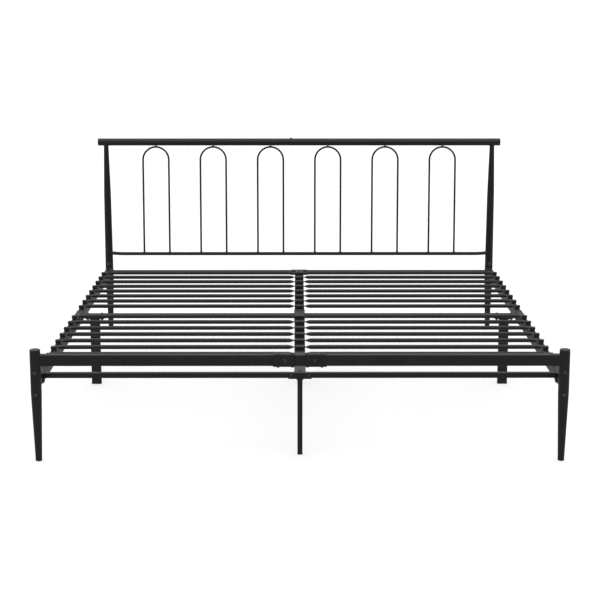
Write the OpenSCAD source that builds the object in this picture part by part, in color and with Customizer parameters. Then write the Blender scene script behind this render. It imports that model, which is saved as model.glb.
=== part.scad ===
// Flat-pack steel bed frame: tapered legs and posts, a headboard with six arches,
// a jointed perimeter, a centre beam on three legs, and two rows of half-width tube slats.
// Origin: on the floor, midway between the legs. +X right, +Y towards the headboard, +Z up.

/* [Bed size] */
// Distance between the left and right leg axes
leg_span = 1830; // [1400:5:2200]
// Distance from the foot leg axes to the headboard post axes
leg_reach = 2050; // [1700:5:2460]
// Height of the side rails' top faces, which the slats sit on
deck_h = 300; // [250:5:360]
// Height of the headboard top rail's axis
head_h = 905; // [754:1:1086]

/* [Legs and posts] */
// Diameter of a leg or post at its floor glide
leg_foot_d = 23; // [19:0.5:27]
// Diameter of a leg or post at its thickest place
leg_knee_d = 38; // [31:0.5:44]
// Height of that thickest place
leg_knee_h = 246; // [205:1:246]
// Diameter of a foot leg at its top
leg_top_d = 37; // [30:0.5:40]
// Height of a foot leg's tube above the foot rail's top face
leg_over_rail = 14; // [8:1:40]
// Diameter of a post where its upper taper starts
post_mid_d = 32.7; // [26:0.1:34]
// Height where a post's upper taper starts
post_mid_h = 661; // [551:1:700]
// Diameter of a post under the top rail
post_top_d = 22; // [16:0.5:24]
// Wall of every steel tube
tube_wall = 1.5; // [1.2:0.1:2]
// Visible height of a round floor glide
glide_h = 9; // [6:0.5:14]
// Rise of the domed cap on a foot leg
cap_rise = 5; // [3:0.5:8]

/* [Perimeter] */
// Width of a side rail tube
side_w = 25; // [21:1:30]
// Height of a side rail tube
side_h = 38; // [32:1:46]
// Depth of the foot rail tube, front to back
foot_rail_d = 25; // [20:1:30]
// Height of the foot rail tube
foot_rail_h = 40; // [34:1:48]
// Clear height from the deck to the foot rail
foot_rail_lift = 44; // [30:1:60]
// Distance from the rail's edge to each of the two bolts of a leg
leg_bolt_off = 21; // [18:1:26]
// Thickness of the saddle plate between a leg and a side rail
saddle_t = 4; // [3:0.5:6]

/* [Cross members and centre beam] */
// Side of the square cross member tube
cross_s = 19; // [18:0.5:25]
// Distance from the leg axes to the end cross members' axes
cross_inset = 73; // [60:1:90]
// Width of the centre beam tube
beam_w = 40; // [32:1:46]
// Side of the square centre legs
centre_leg_s = 18; // [15:0.5:20]
// Width of the flat mid legs
mid_leg_w = 40; // [34:1:48]
// Thickness of the flat mid legs
mid_leg_t = 19; // [16:0.5:20]
// Distance from a mid leg's axis to the side rail's axis
mid_leg_inset = 67; // [62:1:90]

/* [Slats] */
// Number of slat rows in each half of the bed
rows_per_half = 8; // [6:1:9]
// Distance from the last slat row to the end cross member's axis
slat_end_gap = 112; // [93:1:134]
// Diameter of a slat tube
slat_d = 16; // [13:0.5:18]
// Wall of a slat tube
slat_wall = 1.2; // [1:0.1:1.6]
// Height of the slat axis above the deck
slat_lift = 10; // [9.5:0.5:13]
// Thickness of a slat's flattened end
blade_t = 3; // [2:0.5:4]
// Width of a slat's flattened end
blade_w = 16; // [14:0.5:18]
// Length of the flattened end
blade_len = 19; // [15:1:23]
// Length of the taper between the tube and its flattened end
pinch_len = 21; // [17:1:36]

/* [Headboard] */
// Diameter of the top rail
top_rail_d = 34; // [27:1:38]
// Length of the top rail beyond each post axis
top_rail_over = 35; // [25:1:60]
// Height of the lower rail's axis above the deck
low_rail_lift = 74; // [60:1:120]
// Diameter of the lower rail
low_rail_d = 16; // [14:0.5:19]
// Distance of the lower rail's axis in front of the post axes
low_rail_out = 36; // [30:1:43]
// Number of arches on each side of the centre
arches_per_side = 3; // [3:1:3]
// Distance from the last arch's centre to the post axis
arch_side_gap = 235; // [196:1:282]
// Distance between the two legs of an arch
arch_w = 122; // [102:1:146]
// Diameter of the arch rod
rod_d = 9; // [7:0.5:10]
// Gap between an arch's crown and the top rail
crown_gap = 2; // [1.5:0.5:8]

/* [Fasteners] */
// Shank diameter of the large bolts
bolt_d = 8; // [6:0.5:8]
// Head diameter of the large bolts
bolt_head_d = 13; // [11:0.5:14]
// Head height of the large bolts
bolt_head_h = 4; // [3:0.5:5]
// Shank diameter of the small bolts and screws
screw_d = 6; // [5:0.5:6]
// Head diameter of the small bolts and screws
screw_head_d = 11; // [9:0.5:12]
// Head height of the small bolts and screws
screw_head_h = 3; // [2:0.5:4]
// Radial clearance of a bolt in its hole
bolt_gap = 0.25; // [0.1:0.05:0.5]
// Clearance of a slat end in its plastic seat
seat_gap = 0.2; // [0.1:0.05:0.4]

/* [Hidden] */
$fn = 48;
eps = 1;

plate_edge = 5;
leg_x = leg_span / 2;
leg_y = leg_reach / 2;
side_z = deck_h - side_h;
side_in = leg_x - side_w / 2;
side_out = leg_x + side_w / 2;
foot_rail_z = deck_h + foot_rail_lift;
leg_h = foot_rail_z + foot_rail_h + leg_over_rail;
cross_z = deck_h - cross_s;
cross_y = leg_y - cross_inset;
slat_pitch = (cross_y - slat_end_gap) / rows_per_half;
row_shift = 8;
beam_end = cross_y - cross_s / 2;
saddle_y = leg_y - leg_knee_d / 2 - saddle_t;
saddle_h = side_h + 2 * (leg_bolt_off + bolt_head_d / 2 + plate_edge);
leg_bolt_z = [side_z - leg_bolt_off, deck_h + leg_bolt_off];
plug_len = 20;
plate_t = 3;
thread_end = 1;

// Plastic slat seats
cap_wall = 3.5;
cap_roof = 2;
cap_l = blade_len + cap_wall;
cap_w = blade_w + cap_wall;
cap_h = slat_lift + blade_t / 2 + cap_roof;
cap_over = 1;
holder_roof = 3;
holder_w = cap_w;
holder_h = slat_lift + blade_t / 2 + holder_roof;
holder_web = 8;
blade_show = 3;
holder_l = holder_web + 2 * (blade_len - blade_show);
peg_d = 8;
peg_len = 9;
slat_z = deck_h + slat_lift;
slat_out = side_out + cap_over - cap_wall;
slat_in = holder_web / 2 + seat_gap;

// Foot rail joint
connector_w = 37;
clamp_l = 74;
clamp_t = 2.5;
spigot_l = 72;
clamp_bolt_pitch = 50;
clamp_bolt_x = connector_w / 2 + 0.44 * clamp_l;

// Side rail joint
splice_l = 160;
splice_h = side_h - 4;
splice_bolt_pitch = [110, 18];
insert_l = 150;

// Brackets along the centre line
bracket_w = 82;
bracket_tongue = 60;
bracket_bolt_x = 31.5;
tongue_bolt = 12;
mid_plate_w = beam_w + 4;
mid_plate_l = 2 * slat_pitch - 76;
mid_plate_bolt_y = 3 / 7 * slat_pitch;
joint_bar_l = 120;
neck_w = centre_leg_s + 9;
neck_h = 10;
mid_leg_x = leg_x - mid_leg_inset;
mid_leg_plate = 80;
mid_leg_bolt_x = 29.5;

// Headboard
low_z = deck_h + low_rail_lift;
low_y = leg_y - low_rail_out;
low_bend_r = 105;
low_bend_a = acos(1 - low_rail_out / low_bend_r);
low_bend_x = low_bend_r * sin(low_bend_a);
socket = 5;
arch_pitch = (leg_x - arch_side_gap) / (arches_per_side - 0.5);
arch_rise = head_h - low_z;
arch_lean = atan(low_rail_out / arch_rise);
arch_len = sqrt(low_rail_out * low_rail_out + arch_rise * arch_rise);
arch_crown = arch_len - top_rail_d / 2 - crown_gap - rod_d / 2;
arch_spring = arch_crown - arch_w / 2;
top_joint_l = 160;
top_screw_x = -38;

// Each station is a height and a radius
LEG = [[glide_h, leg_foot_d / 2], [leg_knee_h, leg_knee_d / 2], [leg_h, leg_top_d / 2]];
POST = [[glide_h, leg_foot_d / 2], [leg_knee_h, leg_knee_d / 2], [post_mid_h, post_mid_d / 2],
        [head_h, post_top_d / 2]];
SIDES = ["left", "right"];
ROW_Y = [for (i = [0 : rows_per_half - 1]) slat_pitch * (i + 1) - row_shift];
ARCHES = [for (i = [0 : 2 * arches_per_side - 1]) str("headboard_arch_", i + 1)];

// ---- shared shapes ----

// Mirrors its children to the left for s = 0 and leaves them on the right for s = 1
module side(s) {
    mirror([s == 0 ? 1 : 0, 0, 0]) children();
}

// Mirrors its children to the foot for e = 0 and leaves them at the head for e = 1
module end(e) {
    mirror([0, e == 0 ? 1 : 0, 0]) children();
}

// The four corners of the bed, drawn from the right-hand head corner
module corners() {
    for (s = [0, 1], e = [0, 1]) side(s) end(e) children();
}

// Stacked cones through a list of stations, their radii less an inset
module cones(stations, inset = 0) {
    for (i = [0 : len(stations) - 2])
        translate([0, 0, stations[i][0]])
            cylinder(h = stations[i + 1][0] - stations[i][0], r1 = stations[i][1] - inset,
                     r2 = stations[i + 1][1] - inset);
}

// A tapered tube that is open at both ends
module tapered_tube(stations) {
    last = stations[len(stations) - 1];
    difference() {
        cones(stations);
        cones(stations, tube_wall);
        translate([0, 0, stations[0][0] - eps]) cylinder(h = 2 * eps, r = stations[0][1] - tube_wall);
        translate([0, 0, last[0] - eps]) cylinder(h = 2 * eps, r = last[1] - tube_wall);
    }
}

// A box centred on X and Y, standing on its base
module block(size) {
    translate([-size.x / 2, -size.y / 2, 0]) cube(size);
}

// A cylinder along X or Y, starting at the origin
module rod_x(r, l) {
    rotate([0, 90, 0]) cylinder(h = l, r = r);
}

module rod_y(r, l) {
    rotate([-90, 0, 0]) cylinder(h = l, r = r);
}

// A rectangular tube along Y from y0 to y1, centred on X, standing on its base
module tube_y(w, h, y0, y1) {
    difference() {
        translate([-w / 2, y0, 0]) cube([w, y1 - y0, h]);
        translate([-w / 2 + tube_wall, y0 - eps, tube_wall])
            cube([w - 2 * tube_wall, y1 - y0 + 2 * eps, h - 2 * tube_wall]);
    }
}

// A rectangular tube along X from x0 to x1, centred on Y, standing on its base
module tube_x(d, h, x0, x1) {
    rotate([0, 0, -90]) tube_y(d, h, x0, x1);
}

// A rectangular tube standing up from z0 to z1
module tube_z(w, d, z0, z1) {
    difference() {
        translate([0, 0, z0]) block([w, d, z1 - z0]);
        translate([0, 0, z0 - eps])
            block([w - 2 * tube_wall, d - 2 * tube_wall, z1 - z0 + 2 * eps]);
    }
}

// A bolt with its head on +Z and its shank down to -l
module bolt(d, head_d, head_h, l) {
    translate([0, 0, -l]) cylinder(h = l + head_h / 2, r = d / 2);
    cylinder(h = head_h * 0.6, r = head_d / 2);
    translate([0, 0, head_h * 0.6]) cylinder(h = head_h * 0.4, r1 = head_d / 2, r2 = head_d * 0.36);
}

// A small bolt with a hexagon socket in its head
module screw(l) {
    difference() {
        bolt(screw_d, screw_head_d, screw_head_h, l);
        translate([0, 0, screw_head_h / 2]) cylinder(h = screw_head_h, r = screw_d / 3, $fn = 6);
    }
}

function nut_h(d) = 0.8 * d;

// A hexagon nut on top of the XY plane
module nut(d) {
    difference() {
        cylinder(h = nut_h(d), r = 0.94 * d, $fn = 6);
        translate([0, 0, -eps]) cylinder(h = d + 2 * eps, r = d / 2);
    }
}

module hole(d, l) {
    translate([0, 0, -l / 2]) cylinder(h = l, r = d / 2 + bolt_gap);
}

// Places its children at each of a leg's two bolts, with +Z pointing out of the bed's end
module at_leg_bolts() {
    for (z = leg_bolt_z) translate([leg_x, leg_y, z]) rotate([-90, 0, 0]) children();
}

module leg_bolt_holes(l) {
    at_leg_bolts() hole(bolt_d, l);
}

// ---- legs and posts ----

module foot_leg(s) {
    color("#1c1d1f") side(s) end(0) difference() {
        translate([leg_x, leg_y, 0]) tapered_tube(LEG);
        leg_bolt_holes(2 * leg_knee_d);
    }
}

module post_skin() {
    translate([leg_x, leg_y, 0]) cones(POST);
}

module headboard_post(s) {
    color("#1c1d1f") side(s) difference() {
        translate([leg_x, leg_y, 0]) tapered_tube(POST);
        leg_bolt_holes(2 * leg_knee_d);
        translate([0, leg_y, head_h]) rod_x(top_rail_d / 2, leg_x + top_rail_over + eps);
    }
}

// Domed plug in the top of each foot leg
module leg_caps() {
    dome_r = leg_top_d * leg_top_d / (8 * cap_rise) + cap_rise / 2;
    color("#141414") for (s = [0, 1]) side(s) translate([leg_x, -leg_y, leg_h]) {
        intersection() {
            translate([0, 0, cap_rise - dome_r]) sphere(r = dome_r);
            cylinder(h = cap_rise + eps, r = leg_top_d / 2);
        }
        translate([0, 0, -plug_len]) cylinder(h = plug_len, r = leg_top_d / 2 - tube_wall);
    }
}

// Profile of a round glide: a rounded shoe and a plug that fits the tube
module glide_profile(r) {
    edge = 3;
    square([r - edge, glide_h]);
    translate([0, edge]) square([r, glide_h - edge]);
    translate([r - edge, edge]) circle(r = edge);
    square([r - tube_wall, glide_h + plug_len]);
}

module block_glide(w, d) {
    block([w, d, glide_h]);
    translate([0, 0, glide_h - eps])
        block([w - 2 * tube_wall, d - 2 * tube_wall, plug_len + eps]);
}

module floor_glides() {
    color("#101010") {
        corners() translate([leg_x, leg_y, 0]) rotate_extrude() glide_profile(leg_foot_d / 2);
        for (y = [-cross_y, 0, cross_y])
            translate([0, y, 0]) block_glide(centre_leg_s, centre_leg_s);
        for (s = [0, 1]) side(s) translate([mid_leg_x, 0, 0]) block_glide(mid_leg_w, mid_leg_t);
    }
}

// ---- headboard ----

module at_arch(i) {
    x = (i - arches_per_side + 0.5) * arch_pitch;
    translate([x, low_y, low_z]) rotate([-arch_lean, 0, 0]) children();
}

// One bent rod, with a short pin on its crown that locates in the top rail
module arch(i) {
    color("#1a1b1c") at_arch(i) {
        for (x = [-arch_w / 2, arch_w / 2])
            translate([x, 0, low_rail_d / 2 - socket])
                cylinder(h = arch_spring - low_rail_d / 2 + socket, r = rod_d / 2);
        translate([0, 0, arch_spring]) rotate([90, 0, 0])
            rotate_extrude(angle = 180) translate([arch_w / 2, 0]) circle(r = rod_d / 2);
        translate([0, 0, arch_crown]) cylinder(h = crown_gap + rod_d / 2 + 5, r = rod_d * 0.35);
    }
}

module top_rail(s) {
    l = leg_x + top_rail_over;
    color("#1c1d1f") difference() {
        side(s) translate([0, leg_y, head_h]) difference() {
            rod_x(top_rail_d / 2, l);
            translate([-eps, 0, 0]) rod_x(top_rail_d / 2 - tube_wall, l + 2 * eps);
        }
        for (i = [0 : 2 * arches_per_side - 1])
            at_arch(i) translate([0, 0, arch_crown]) cylinder(h = top_rail_d / 2, r = rod_d * 0.35);
        translate([top_screw_x, leg_y, head_h]) cylinder(h = top_rail_d, r = screw_d / 2 + bolt_gap);
    }
}

module top_rail_joint() {
    color("#2a2a2a") difference() {
        translate([-top_joint_l / 2, leg_y, head_h]) rod_x(top_rail_d / 2 - tube_wall, top_joint_l);
        translate([-top_joint_l / 2 - eps, leg_y, head_h])
            rod_x(top_rail_d / 2 - 2 * tube_wall, top_joint_l + 2 * eps);
        translate([top_screw_x, leg_y, head_h]) cylinder(h = top_rail_d, r = screw_d / 2 + bolt_gap);
    }
}

module top_rail_caps() {
    color("#141414") for (s = [0, 1]) side(s)
        translate([leg_x + top_rail_over, leg_y, head_h]) {
            rod_x(top_rail_d / 2, plate_t);
            translate([-plug_len, 0, 0]) rod_x(top_rail_d / 2 - tube_wall, plug_len);
        }
}

// The lower rail runs in front of the posts and bends back to meet them
module lower_rail(s) {
    run = leg_x - low_bend_x;
    color("#1a1b1c") difference() {
        side(s) difference() {
            translate([0, low_y, low_z]) {
                rod_x(low_rail_d / 2, run);
                translate([run, low_bend_r, 0]) rotate([0, 0, -90])
                    rotate_extrude(angle = low_bend_a)
                        translate([low_bend_r, 0]) circle(r = low_rail_d / 2);
            }
            translate([-eps, low_y, low_z]) rod_x(low_rail_d / 2 - tube_wall, run - low_rail_d);
            post_skin();
        }
        for (i = [0 : 2 * arches_per_side - 1], x = [-arch_w / 2, arch_w / 2])
            at_arch(i) translate([x, 0, low_rail_d / 2 - socket])
                cylinder(h = low_rail_d, r = rod_d / 2);
    }
}

module lower_rail_pin() {
    color("#2a2a2a") translate([-joint_bar_l / 2, low_y, low_z])
        rod_x(low_rail_d / 2 - tube_wall, joint_bar_l);
}

// ---- foot rail ----

module at_foot_rail() {
    translate([0, -leg_y, foot_rail_z]) children();
}

// Places its children at the clamp's two upright bolts, on the rail's top face
module at_clamp_bolts() {
    for (x = [-clamp_bolt_pitch / 2, clamp_bolt_pitch / 2])
        translate([clamp_bolt_x + x, 0, foot_rail_h]) children();
}

// Places its children at the clamp's front bolt, with +Z pointing forward
module at_clamp_front() {
    translate([clamp_bolt_x, -foot_rail_d / 2, foot_rail_h / 2])
        rotate([90, 0, 0]) children();
}

module clamp_holes() {
    at_clamp_bolts() hole(screw_d, 3 * foot_rail_h);
    at_clamp_front() hole(screw_d, foot_rail_d);
}

module foot_rail(s) {
    color("#1c1d1f") side(s) difference() {
        at_foot_rail() difference() {
            tube_x(foot_rail_d, foot_rail_h, connector_w / 2, leg_x);
            clamp_holes();
        }
        translate([leg_x, -leg_y, 0]) cones(LEG);
    }
}

// Full-size middle between the two half rails, with a spigot inside each of them
module foot_rail_connector() {
    color("#1c1d1f") at_foot_rail() difference() {
        union() {
            block([connector_w, foot_rail_d, foot_rail_h]);
            translate([0, 0, tube_wall])
                block([connector_w + 2 * spigot_l, foot_rail_d - 2 * tube_wall,
                       foot_rail_h - 2 * tube_wall]);
        }
        for (s = [0, 1]) side(s) clamp_holes();
    }
}

// A channel round the front, top and bottom of each half rail's end
module foot_rail_clamps() {
    color("#18191a") at_foot_rail() for (s = [0, 1]) side(s) difference() {
        translate([connector_w / 2, -foot_rail_d / 2 - clamp_t, -clamp_t])
            cube([clamp_l, foot_rail_d + clamp_t, foot_rail_h + 2 * clamp_t]);
        translate([connector_w / 2 - eps, -foot_rail_d / 2, 0])
            cube([clamp_l + 2 * eps, foot_rail_d + eps, foot_rail_h]);
        clamp_holes();
    }
}

// ---- side rails ----

module at_splice_bolts() {
    for (y = [-0.5, 0.5], z = [-0.5, 0.5])
        translate([leg_x, y * splice_bolt_pitch.x, side_z + side_h / 2 + z * splice_bolt_pitch.y])
            rotate([0, 90, 0]) children();
}

// Places its children on the deck at each cap of one quarter of the bed
module at_caps() {
    for (y = ROW_Y) translate([side_out + cap_over - cap_l / 2, y, deck_h]) children();
}

// Places its children at the screw that holds a cross member's flange to the side rail
module at_flange_screws() {
    for (y = [0, cross_y])
        translate([side_in - plate_t, y, side_z + (side_h - cross_s) / 2])
            rotate([0, -90, 0]) children();
}

module side_rail(s, e) {
    color("#1c1d1f") side(s) end(e) difference() {
        union() {
            translate([leg_x, 0, side_z]) tube_y(side_w, side_h, 0, saddle_y + eps);
            translate([leg_x, saddle_y, side_z + side_h / 2 - saddle_h / 2])
                translate([-side_w / 2, 0, 0]) cube([side_w, saddle_t + 6, saddle_h]);
        }
        translate([leg_x, leg_y, 0]) cones(e == 0 ? LEG : POST);
        leg_bolt_holes(2 * leg_knee_d);
        at_splice_bolts() hole(screw_d, 2 * side_w);
        at_caps() cylinder(h = 4 * tube_wall, r = peg_d / 2, center = true);
        at_flange_screws() hole(screw_d, side_w);
    }
}

module side_rail_inserts() {
    color("#2a2a2a") for (s = [0, 1]) side(s) difference() {
        translate([leg_x, 0, side_z + tube_wall])
            tube_y(side_w - 2 * tube_wall, side_h - 2 * tube_wall, -insert_l / 2, insert_l / 2);
        at_splice_bolts() hole(screw_d, 2 * side_w);
        for (e = [0, 1]) end(e) at_caps()
            cylinder(h = 2 * peg_len, r = peg_d / 2 + seat_gap, center = true);
        at_flange_screws() hole(screw_d, side_w);
    }
}

module side_rail_splices() {
    color("#18191a") for (s = [0, 1]) side(s) difference() {
        translate([side_out, -splice_l / 2, side_z + (side_h - splice_h) / 2])
            cube([plate_t, splice_l, splice_h]);
        at_splice_bolts() hole(screw_d, 2 * side_w);
    }
}

// ---- cross members ----

// Half a cross member at y: a square tube with a flange against the side rail
module half_cross(s, y) {
    color("#1c1d1f") side(s) difference() {
        union() {
            translate([0, y, cross_z]) tube_x(cross_s, cross_s, 0, side_in);
            translate([side_in - plate_t, y - cross_s / 2, side_z]) cube([plate_t, cross_s, side_h]);
        }
        end(y < 0 ? 0 : 1) at_flange_screws() hole(screw_d, side_w);
        centre_holes();
        translate([mid_leg_x, 0, 0]) at_mid_leg_bolts() hole(screw_d, 4 * cross_s);
    }
}

module at_mid_leg_bolts() {
    for (x = [-mid_leg_bolt_x, mid_leg_bolt_x]) translate([x, 0, deck_h]) children();
}

// Bars inside the butted ends of the cross members
module cross_joint_bars() {
    s = cross_s - 2 * tube_wall;
    color("#2a2a2a") for (y = [-cross_y, 0, cross_y]) difference() {
        translate([0, y, cross_z + tube_wall]) block([joint_bar_l, s, s]);
        centre_holes();
    }
}

// ---- centre beam ----

// Places its children at the bolts through an end bracket's front plate, +Z pointing outward
module at_bracket_bolts() {
    for (x = [-bracket_bolt_x, bracket_bolt_x])
        translate([x, cross_y + cross_s / 2 + plate_t, cross_z + cross_s / 2])
            rotate([-90, 0, 0]) children();
}

// Heights and places of the upright screws along the centre line, for one half of the bed
module at_beam_screws() {
    translate([0, beam_end - tongue_bolt, deck_h]) children();
    translate([0, mid_plate_bolt_y, deck_h + plate_t]) children();
}

// Every hole that the centre line's fasteners need
module centre_holes() {
    for (e = [0, 1]) end(e) {
        at_bracket_bolts() hole(screw_d, 6 * cross_s);
        at_beam_screws() hole(screw_d, 4 * cross_s);
    }
    translate([0, 0, deck_h]) cylinder(h = 2 * cross_s, r = screw_d / 2 + bolt_gap, center = true);
}

module centre_beam(e) {
    color("#1c1d1f") end(e) difference() {
        translate([0, 0, cross_z]) tube_y(beam_w, cross_s, cross_s / 2, beam_end);
        centre_holes();
        for (y = ROW_Y) translate([0, y, deck_h])
            cylinder(h = 4 * tube_wall, r = peg_d / 2, center = true);
    }
}

// Front plate, base plate and a tongue under the beam
module end_bracket(e) {
    front_y = cross_y + cross_s / 2;
    color("#18191a") end(e) difference() {
        union() {
            translate([-bracket_w / 2, front_y, cross_z - plate_t])
                cube([bracket_w, plate_t, cross_s + plate_t + 1]);
            translate([-bracket_w / 2, beam_end, cross_z - plate_t])
                cube([bracket_w, cross_s + plate_t, plate_t]);
            translate([-beam_w / 2, beam_end - bracket_tongue, cross_z - plate_t])
                cube([beam_w, bracket_tongue + eps, plate_t]);
        }
        centre_holes();
    }
}

module mid_plate(top) {
    color("#18191a") difference() {
        translate([0, 0, top ? deck_h : cross_z - plate_t]) block([mid_plate_w, mid_plate_l, plate_t]);
        centre_holes();
    }
}

// A square leg with a flared neck under its bracket
module centre_leg(y) {
    top = cross_z - plate_t;
    color("#1c1d1f") translate([0, y, 0]) {
        tube_z(centre_leg_s, centre_leg_s, glide_h, top);
        translate([0, centre_leg_s / 2, top]) rotate([90, 0, 0]) linear_extrude(height = centre_leg_s)
            polygon([[-neck_w / 2, 0], [neck_w / 2, 0], [centre_leg_s / 2 - tube_wall, -neck_h],
                     [-centre_leg_s / 2 + tube_wall, -neck_h]]);
    }
}

module mid_leg(s) {
    top = cross_z - plate_t;
    color("#1c1d1f") side(s) translate([mid_leg_x, 0, 0]) difference() {
        union() {
            tube_z(mid_leg_w, mid_leg_t, glide_h, top + eps);
            translate([0, 0, top]) block([mid_leg_plate, mid_leg_t, plate_t]);
        }
        at_mid_leg_bolts() hole(screw_d, 4 * cross_s);
    }
}

// ---- slats and their plastic seats ----

// One half slat along +X: a round tube, hollow between its tapers, pinched flat at both ends
module half_slat() {
    l = slat_out - slat_in;
    full = blade_len + pinch_len;
    translate([slat_in, 0, 0]) difference() {
        pinched_rod(l, full);
        translate([full, 0, 0]) rod_x(slat_d / 2 - slat_wall, l - 2 * full);
    }
}

// A rod of length l along +X that narrows from its full diameter to a flat blade at each end
module pinched_rod(l, full) {
    r = slat_d / 2;
    b = blade_t / 2;
    flat = blade_len;
    intersection() {
        translate([flat, 0, 0]) rod_x(r, l - 2 * flat);
        translate([0, r + eps, 0]) rotate([90, 0, 0]) linear_extrude(height = 2 * (r + eps))
            polygon([[flat, -b], [full, -r], [l - full, -r], [l - flat, -b],
                     [l - flat, b], [l - full, r], [full, r], [flat, b]]);
    }
    for (x = [0, l - flat]) translate([x, -blade_w / 2, -b]) cube([flat, blade_w, blade_t]);
}

module slats(s, e) {
    color("#1e1f20") side(s) end(e) for (y = ROW_Y) translate([0, y, slat_z]) half_slat();
}

// The room a slat's flattened end takes in its seat
module blade_room(l) {
    translate([0, -blade_w / 2 - seat_gap, slat_lift - blade_t / 2 - seat_gap])
        cube([l, blade_w + 2 * seat_gap, blade_t + 2 * seat_gap]);
}

// Cap over a slat's outer end, pegged into the side rail
module slat_caps() {
    color("#0f0f10") corners() at_caps() {
        difference() {
            block([cap_l, cap_w, cap_h]);
            translate([-cap_l / 2 - eps, 0, 0]) blade_room(cap_l + eps - cap_wall + seat_gap);
        }
        translate([0, 0, -peg_len]) cylinder(h = peg_len + eps, r = peg_d / 2);
    }
}

// Double seat for the inner ends of a row's two half slats, pegged into the beam
module slat_holders() {
    color("#0f0f10") for (e = [0, 1]) end(e) for (y = ROW_Y) translate([0, y, deck_h]) {
        difference() {
            block([holder_l, holder_w, holder_h]);
            for (s = [0, 1]) side(s) translate([holder_web / 2, 0, 0]) blade_room(holder_l);
        }
        translate([0, 0, -peg_len]) cylinder(h = peg_len + eps, r = peg_d / 2);
    }
}

// ---- fasteners ----

module leg_bolts() {
    reach = leg_knee_d / 2;
    back = reach + saddle_t + nut_h(bolt_d) + 2;
    color("#26272a") for (s = [0, 1], e = [0, 1]) side(s) end(e) difference() {
        at_leg_bolts() union() {
            translate([0, 0, -back]) cylinder(h = back + reach, r = bolt_d / 2);
            translate([0, 0, reach - 4]) cylinder(h = bolt_head_h + 2, r = bolt_head_d / 2);
            translate([0, 0, reach + bolt_head_h - 2])
                cylinder(h = 2, r1 = bolt_head_d / 2, r2 = bolt_head_d * 0.36);
        }
        difference() {
            translate([leg_x, leg_y, 0]) cones(e == 0 ? LEG : POST);
            at_leg_bolts() cylinder(h = 3 * leg_knee_d, r = bolt_d / 2, center = true);
        }
        at_leg_bolts() translate([0, 0, reach + bolt_head_h - 2])
            cylinder(h = 3, r = bolt_d * 0.35, $fn = 6);
    }
}

module leg_nuts() {
    color("#3a3b3d") corners() at_leg_bolts()
        translate([0, 0, -leg_knee_d / 2 - saddle_t - nut_h(bolt_d)]) nut(bolt_d);
}

module joint_bolts() {
    color("#26272a") {
        at_foot_rail() for (s = [0, 1]) side(s) at_clamp_bolts()
            translate([0, 0, clamp_t]) screw(foot_rail_h + 2 * clamp_t + nut_h(screw_d) + thread_end);
        for (s = [0, 1]) side(s) at_splice_bolts()
            translate([0, 0, side_w / 2 + plate_t]) screw(side_w + plate_t + nut_h(screw_d) + thread_end);
        for (e = [0, 1]) end(e) at_bracket_bolts() screw(cross_s + plate_t + nut_h(screw_d) + thread_end);
    }
}

module joint_nuts() {
    color("#3a3b3d") {
        at_foot_rail() for (s = [0, 1]) side(s) at_clamp_bolts()
            translate([0, 0, -foot_rail_h - clamp_t - nut_h(screw_d)]) nut(screw_d);
        for (s = [0, 1]) side(s) at_splice_bolts()
            translate([0, 0, -side_w / 2 - nut_h(screw_d)]) nut(screw_d);
        for (e = [0, 1]) end(e) at_bracket_bolts()
            translate([0, 0, -cross_s - plate_t - nut_h(screw_d)]) nut(screw_d);
    }
}

module plate_screws() {
    color("#26272a") {
        at_foot_rail() for (s = [0, 1]) side(s) at_clamp_front()
            translate([0, 0, clamp_t]) screw(clamp_t + tube_wall + 6);
        for (e = [0, 1]) end(e) at_beam_screws() screw(cross_s + 2 * plate_t);
        translate([0, 0, deck_h + plate_t]) screw(cross_s / 2 + plate_t);
        for (s = [0, 1]) side(s) {
            at_flange_screws() screw(plate_t + tube_wall + 3);
            end(0) at_flange_screws() screw(plate_t + tube_wall + 3);
        }
        translate([top_screw_x, leg_y, head_h + top_rail_d / 2]) screw(top_rail_d / 2);
    }
}

module mid_leg_bolts() {
    color("#26272a") for (s = [0, 1]) side(s) translate([mid_leg_x, 0, 0]) at_mid_leg_bolts()
        screw(cross_s + plate_t + nut_h(screw_d) + thread_end);
}

module mid_leg_nuts() {
    color("#3a3b3d") for (s = [0, 1]) side(s) translate([mid_leg_x, 0, 0]) at_mid_leg_bolts()
        translate([0, 0, -cross_s - plate_t - nut_h(screw_d)]) nut(screw_d);
}

// ---- nodes ----

for (s = [0, 1]) {
    foot_leg(s);
    headboard_post(s);
    top_rail(s);
    lower_rail(s);
    foot_rail(s);
    side_rail(s, 0);
    side_rail(s, 1);
    half_cross(s, -cross_y);
    half_cross(s, 0);
    half_cross(s, cross_y);
    mid_leg(s);
    slats(s, 0);
    slats(s, 1);
}
for (i = [0 : len(ARCHES) - 1]) {
    arch(i);
}
top_rail_joint();
top_rail_caps();
lower_rail_pin();
foot_rail_connector();
foot_rail_clamps();
side_rail_inserts();
side_rail_splices();
cross_joint_bars();
centre_beam(0);  // centre_beam_foot
centre_beam(1);  // centre_beam_head
end_bracket(0);  // foot_bracket
end_bracket(1);  // head_bracket
mid_plate(true);  // mid_plate_top
mid_plate(false);  // mid_plate_bottom
centre_leg(-cross_y);  // centre_leg_foot
centre_leg(0);  // centre_leg_mid
centre_leg(cross_y);  // centre_leg_head
leg_bolts();
leg_nuts();
joint_bolts();
joint_nuts();
plate_screws();
mid_leg_bolts();
mid_leg_nuts();
floor_glides();
leg_caps();
slat_caps();
slat_holders();
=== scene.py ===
"""Builds the looks of a flat-pack metal bed frame round its packed CAD model.

Each operator models one piece, or one group of like pieces, where the frame says that it is.
Lengths are in metres. +X is right, +Y the headboard end and +Z up.
"""

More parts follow.
